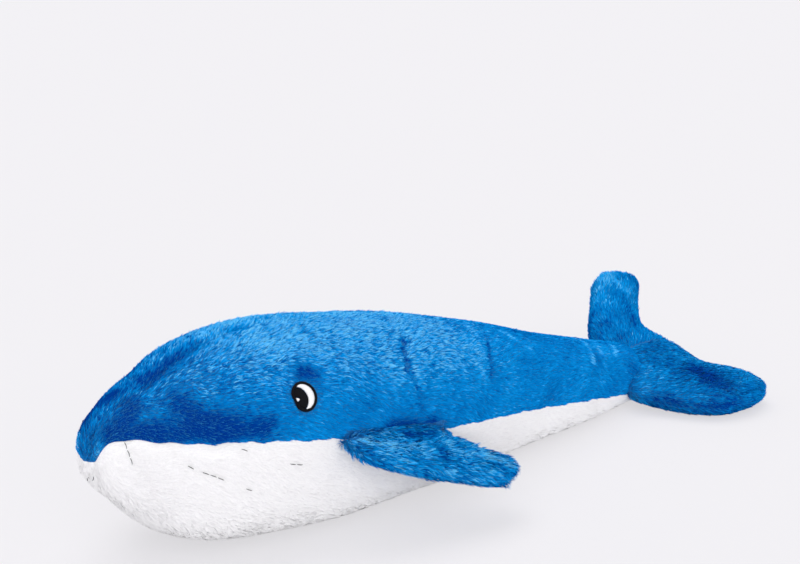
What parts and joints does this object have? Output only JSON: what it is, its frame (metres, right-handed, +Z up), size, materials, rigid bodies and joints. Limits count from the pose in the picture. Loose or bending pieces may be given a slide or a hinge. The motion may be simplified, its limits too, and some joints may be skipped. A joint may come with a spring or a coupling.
{
  "type": "plush whale",
  "caption": "Stuffed plush whale lying on its belly: blue back, white pleated throat and belly, embroidered eyes, swept fins and sewn-on flukes that turn at their seams.",
  "frame": {"origin": "on the surface that the whale lies on, under the middle of its bounding box", "axes": "+X runs from the nose to the tail, +Y to the whale's right side, +Z up through its back"},
  "size_m": [0.4651, 0.1898, 0.1118],
  "materials": {
    "blue_plush": "long soft pile",
    "white_plush": "long soft pile",
    "fibre": "loose polyester fibre",
    "black_thread": "satin stitch",
    "white_thread": "satin stitch",
    "grey_thread": "sewing thread"
  },
  "bodies": {
    "body": {"back_cover_left": "blue_plush", "back_cover_right": "blue_plush", "belly_cover": "white_plush", "body_filling": "fibre", "eye_rim_left": "black_thread", "eye_white_left": "white_thread", "eye_pupil_left": "black_thread", "eye_glint_left": "white_thread", "eye_rim_right": "black_thread", "eye_white_right": "white_thread", "eye_pupil_right": "black_thread", "eye_glint_right": "white_thread", "pleat_stitch_1_left": "grey_thread", "pleat_stitch_2_left": "grey_thread", "pleat_stitch_3_left": "grey_thread", "pleat_stitch_1_right": "grey_thread", "pleat_stitch_2_right": "grey_thread", "pleat_stitch_3_right": "grey_thread", "pleat_stitch_middle": "grey_thread"},
    "fin_left": {"fin_upper_cover_left": "blue_plush", "fin_lower_cover_left": "blue_plush", "fin_filling_left": "fibre"},
    "fin_right": {"fin_upper_cover_right": "blue_plush", "fin_lower_cover_right": "blue_plush", "fin_filling_right": "fibre"},
    "flukes": {"fluke_upper_cover": "blue_plush", "fluke_lower_cover": "blue_plush", "fluke_filling": "fibre"}
  },
  "joints": [
    {"name": "fin_left_flap", "type": "hinge", "parent": "body", "child": "fin_left", "pos_m": [-0.07455, -0.06212, 0.04881], "axis": [-0.9789, -0.0902, 0.1835], "range_deg": [-20, 60], "stiffness_Nm_per_rad": 0.03},
    {"name": "fin_right_flap", "type": "hinge", "parent": "body", "child": "fin_right", "pos_m": [-0.07455, 0.06212, 0.04881], "axis": [0.9789, -0.0902, -0.1835], "range_deg": [-20, 60], "stiffness_Nm_per_rad": 0.03},
    {"name": "fluke_wag", "type": "hinge", "parent": "body", "child": "flukes", "pos_m": [0.169, 0, 0.02402], "axis": [0, -0.9272, -0.3746], "range_deg": [-25, 35], "stiffness_Nm_per_rad": 0.1, "springref_deg": 1.72}
  ]
}
